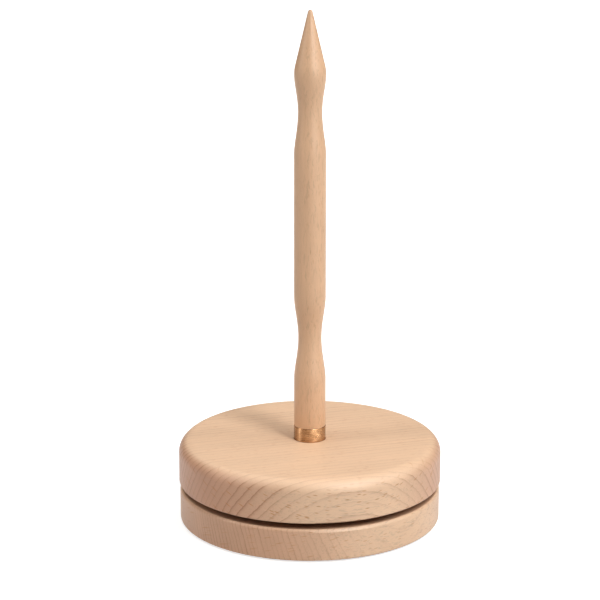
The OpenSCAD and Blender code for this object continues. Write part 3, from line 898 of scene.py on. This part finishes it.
def slotted_head(name, material):
    """A countersunk head: a flat face with a cross slot, and a cone that narrows to the shank."""
    face_z = wood_low[2]
    outline = [(0, face_z), (wood_head_r, face_z), (wood_head_r, face_z + wood_head_edge),
               (wood_root_r, wood_neck_z + neck_overlap), (0, wood_neck_z + neck_overlap)]
    head = new_object(name, turned(name, outline, material, wood_head_sides))
    for half_x, half_y in ((slot_half_l, slot_half_w), (slot_half_w, slot_half_l)):
        cutter_mesh = bpy.data.meshes.new("slot")
        work = bmesh.new()
        bmesh.ops.create_cube(work, size=2)
        bmesh.ops.scale(work, vec=(half_x, half_y, slot_depth), verts=work.verts)
        bmesh.ops.translate(work, vec=(0, 0, face_z), verts=work.verts)
        work.to_mesh(cutter_mesh)
        work.free()
        cutter = new_object("slot", cutter_mesh)
        cut = head.modifiers.new("slot", "BOOLEAN")
        cut.operation = "DIFFERENCE"
        cut.solver = "EXACT"
        cut.object = cutter
        graph = bpy.context.evaluated_depsgraph_get()
        shaped = bpy.data.meshes.new_from_object(head.evaluated_get(graph))
        head.modifiers.clear()
        head.data = shaped
        bpy.data.objects.remove(cutter)
    mesh = head.data
    bpy.data.objects.remove(head)
    return mesh


wood_thread = thread("wood_thread", wood_neck_z + thread_inset, wood_high[2], wood_pitch, wood_root_r,
                     wood_shank_r, wood_point_l, wood_point_r, plated)
one_wood_screw = joined("one_wood_screw", [slotted_head("sunk_head", plated), wood_thread])
wood_screws = round_a_circle("wood_screws_set", one_wood_screw, wood_count, wood_circle_r, 0.0, plated)
place_piece("wood_screws_set", wood_screws, "turntable_assembly", ["wood_screws"])


# Turntable: a thick round of beech, 150 mm across, turned with a generous round on its upper rim.
# Its growth rings lean, so they slant across the rim and show as low arches near the front.
table_fibre = Vector((0.951, 0.309, 0))
table_level = Vector((-0.309, 0.951, 0))
table_tilt = math.radians(60)
table_ring_normal = table_level * math.sin(table_tilt) + Vector((0, 0, 1)) * math.cos(table_tilt)
table_plank_place = Vector((4, 9, -3))
table_ring_gap = 3.7
table_strengths = (1.15, 0.8, 0.85)
dress("turntable", beech("beech_turntable", table_fibre, table_ring_normal, table_plank_place,
                         table_ring_gap, table_strengths, disc_colours))


# Carriage bolt: zinc-plated steel, with a domed head in the pocket below and a square neck in the wood.
# Its 8 mm thread stands 17 mm above the seat, and the spindle screws down on it.
bolt_low, bolt_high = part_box("carriage_bolt")
bolt_head_r = (bolt_high[0] - bolt_low[0]) / 2
bolt_head_h = 0.0044
bolt_neck_h = 0.004
bolt_neck_bevel = 0.0002
bolt_r = 0.004
bolt_root_r = 0.0034
bolt_pitch = 0.00125
bolt_end_l = 0.0008
bolt_end_r = bolt_root_r * 0.8
bolt_sides = 48
bolt_thread_inset = 0.0005
dome_steps = 14
dome_r = (bolt_head_r ** 2 + bolt_head_h ** 2) / (2 * bolt_head_h)
dome_half = math.degrees(math.asin(bolt_head_r / dome_r))
head_top = bolt_low[2] + bolt_head_h
dome = arc(0, bolt_low[2] + dome_r, dome_r, -90, -90 + dome_half, dome_steps)
bolt_outline = [(0, bolt_low[2]), *dome[1:], (bolt_head_r, head_top), (0, head_top)]
bolt_head = turned("bolt_head", bolt_outline, plated)
neck_work = bmesh.new()
bmesh.ops.create_cube(neck_work, size=1)
bmesh.ops.scale(neck_work, vec=(2 * bolt_r, 2 * bolt_r, bolt_neck_h + bolt_end_l), verts=neck_work.verts)
bmesh.ops.translate(neck_work, vec=(0, 0, head_top + (bolt_neck_h - bolt_end_l) / 2),
                    verts=neck_work.verts)
bmesh.ops.bevel(neck_work, geom=neck_work.edges, offset=bolt_neck_bevel, segments=2, affect="EDGES",
                profile=0.5)
bolt_neck = bpy.data.meshes.new("bolt_neck")
neck_work.to_mesh(bolt_neck)
neck_work.free()
bolt_neck.materials.append(plated)
bolt_thread = thread("bolt_thread", head_top + bolt_neck_h - bolt_thread_inset, bolt_high[2], bolt_pitch,
                     bolt_root_r, bolt_r, bolt_end_l, bolt_end_r, plated, bolt_sides)
place_piece("carriage_bolt_piece", joined("carriage_bolt_piece", [bolt_head, bolt_neck, bolt_thread]),
            "turntable_assembly", ["carriage_bolt"])


# Threaded insert: die-cast zinc, 11 mm across with a thin flange, driven into the foot of the spindle.
# Coarse ribs outside hold it in the wood, and the bolt's thread runs inside it.
insert_low, insert_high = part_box("threaded_insert")
insert_flange_r = (insert_high[0] - insert_low[0]) / 2
insert_flange_h = 0.0012
insert_flange_edge = 0.0002
insert_flange_top = insert_low[2] + insert_flange_h
insert_r = 0.0055
insert_root_r = 0.0049
insert_top_edge = 0.0003
insert_bore_r = 0.00405
insert_bore_root = 0.0044
insert_lead_in = 0.0004
insert_pitch = 0.0025
insert_sides = 64
# Where in each pitch a rib starts to rise, comes to its crest and ends, as shares of the pitch
rib_rise, rib_crest, rib_end = 0.3, 0.5, 0.95
insert_cast = metal("cast_zinc", linear(176, 174, 168), linear(140, 138, 130),
                    line_width=0.0006, roughness=0.42, tarnish_strength=0.5, relief=0.00001)


def insert_outline():
    """The insert's section, with saw-tooth ribs outside and thread grooves in the bore."""
    low, high = insert_low[2], insert_high[2]
    mouth_r = insert_bore_r + insert_lead_in
    points = [(mouth_r, low), (insert_flange_r - insert_flange_edge, low),
              (insert_flange_r, low + insert_flange_edge), (insert_flange_r, insert_flange_top)]
    for rib in range(int((high - insert_flange_top) / insert_pitch)):
        z = insert_flange_top + rib * insert_pitch
        points += [(insert_root_r, z), (insert_root_r, z + insert_pitch * rib_rise),
                   (insert_r, z + insert_pitch * rib_crest), (insert_root_r, z + insert_pitch * rib_end)]
    points += [(insert_root_r, high - insert_top_edge), (insert_root_r - insert_top_edge, high),
               (mouth_r, high)]
    for turn in range(int((high - low - 2 * insert_lead_in) / bolt_pitch)):
        z = high - insert_lead_in - turn * bolt_pitch
        points += [(insert_bore_r, z), (insert_bore_root, z - bolt_pitch / 2)]
    return points + [(insert_bore_r, low + insert_lead_in), points[0]]


threaded_insert = turned("threaded_insert_piece", insert_outline(), insert_cast, insert_sides)
place_piece("threaded_insert_piece", threaded_insert, "spindle_assembly",
            ["threaded_insert"])


# Ferrule: a short length of brass tube, 18.2 mm across, turned bright and pressed round the tenon.
# The tool left fine lines round it, which draw the soft boxes and cards out into upright bands.
ferrule_low, ferrule_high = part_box("ferrule")
ferrule_r = (ferrule_high[0] - ferrule_low[0]) / 2
ferrule_wall = 0.0013
ferrule_bore_r = ferrule_r - ferrule_wall
ferrule_edge = 0.0002
ferrule_edge_steps = 4
ferrule_sides = 128
brass = metal("turned_brass", linear(189, 150, 112), linear(172, 128, 90),
              line_width=0.00012, roughness=0.12, tarnish_strength=0.2, relief=0.00008)
ferrule_corner_r = ferrule_r - ferrule_edge
ferrule_outline = [
    (ferrule_bore_r, ferrule_low[2]),
    *arc(ferrule_corner_r, ferrule_low[2] + ferrule_edge, ferrule_edge, -90, 0, ferrule_edge_steps),
    *arc(ferrule_corner_r, ferrule_high[2] - ferrule_edge, ferrule_edge, 0, 90, ferrule_edge_steps),
    (ferrule_bore_r, ferrule_high[2]), (ferrule_bore_r, ferrule_low[2])]
place_piece("brass_ferrule", turned("brass_ferrule", ferrule_outline, brass, ferrule_sides),
            "spindle_assembly", ["ferrule"])


# Spindle: one length of straight beech, 18 mm stock, turned between centres and sanded on the lathe.
# A long cove, a straight shaft, a neck and a swelling crest lead up to the point, and its foot is bored
# for the insert.
spindle_low, spindle_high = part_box("spindle")
shaft_r = 0.009
cove_r = 0.0066
neck_r = 0.00675
crest_r = 0.0089
tenon_r = 0.00775
shoulder = 0.0003
shoulder_steps = 4
insert_clear = 0.00005
hole_r = 0.0042
hole_top = 0.065
foot_z = 0.0825
throat_z = 0.107
shaft_z = 0.1315
neck_start_z = 0.212
neck_z = 0.2365
crest_z = 0.2575
tip_z = spindle_high[2]
tip_r = 0.0013
tip_steps = 10
cove_steps = 28
crest_blend = 0.0048
crest_steps = 12
spindle_sides = 160
spindle_smooth_angle = 30
# Plain rows on the straight parts, which keep their faces short
foot_rows = (ferrule_high[2] + 0.01, foot_z - 0.008)
shaft_rows = (0.15, 0.17, 0.19)


def cove_side(r0, z0, r1, z1):
    """A cove's side, from its throat to its shoulder, level at both ends."""
    shares = [i / cove_steps for i in range(cove_steps + 1)]
    return [(r0 + (r1 - r0) * t * t * (2 - t * t), z0 + (z1 - z0) * t) for t in shares]


def spindle_outline():
    """The spindle's section, from its bored foot up the outside to the round tip."""
    # The point's straight side leaves the crest and meets the round tip, which a few rounds settle
    slope_rounds = 6
    slope = crest_r / (tip_z - crest_z)
    for _ in range(slope_rounds):
        slope = (crest_r - tip_r * math.sqrt(1 + slope ** 2)) / (tip_z - crest_z - tip_r - crest_blend / 2)
    insert_hole_r = insert_r + insert_clear
    flange_hole_r = insert_flange_r + insert_clear
    ferrule_top = ferrule_high[2]
    points = [(0, hole_top), (hole_r, hole_top), (hole_r, insert_high[2]), (insert_hole_r, insert_high[2]),
              (insert_hole_r, insert_flange_top), (flange_hole_r, insert_flange_top),
              (flange_hole_r, insert_low[2]), (tenon_r, spindle_low[2]), (tenon_r, ferrule_top),
              (shaft_r - shoulder, ferrule_top)]
    points += arc(shaft_r - shoulder, ferrule_top + shoulder, shoulder, -90, 0, shoulder_steps)
    points += [(shaft_r, z) for z in foot_rows]
    points += reversed(cove_side(cove_r, throat_z, shaft_r, foot_z))
    points += cove_side(cove_r, throat_z, shaft_r, shaft_z)[1:]
    points += [(shaft_r, z) for z in shaft_rows]
    points += reversed(cove_side(neck_r, neck_z, shaft_r, neck_start_z))
    points += cove_side(neck_r, neck_z, crest_r, crest_z)[1:]
    for i in range(1, crest_steps + 1):
        rise = crest_blend * i / crest_steps
        points.append((crest_r - slope * rise ** 2 / (2 * crest_blend), crest_z + rise))
    lean = math.degrees(math.atan(slope))
    return points + arc(0, tip_z - tip_r, tip_r, lean, 90, tip_steps)[:-1] + [(0, tip_z)]


spindle_fibre = Vector((0, 0, 1))
spindle_ring_normal = Vector((0.42, -0.907, 0)).normalized()
spindle_plank_place = Vector((2.1, 5.3, 40))
spindle_ring_gap = 2.6
spindle_strengths = (0.4, 0.3, 0.6)
spindle_colours = (linear(221, 179, 142), linear(190, 140, 98), linear(182, 124, 76), linear(190, 146, 108))
spindle_beech = beech("beech_spindle_wood", spindle_fibre, spindle_ring_normal, spindle_plank_place,
                      spindle_ring_gap, spindle_strengths, spindle_colours)
spindle_mesh = turned("turned_spindle", spindle_outline(), spindle_beech, spindle_sides,
                      spindle_smooth_angle)
place_piece("turned_spindle", spindle_mesh, "spindle_assembly", ["spindle"])
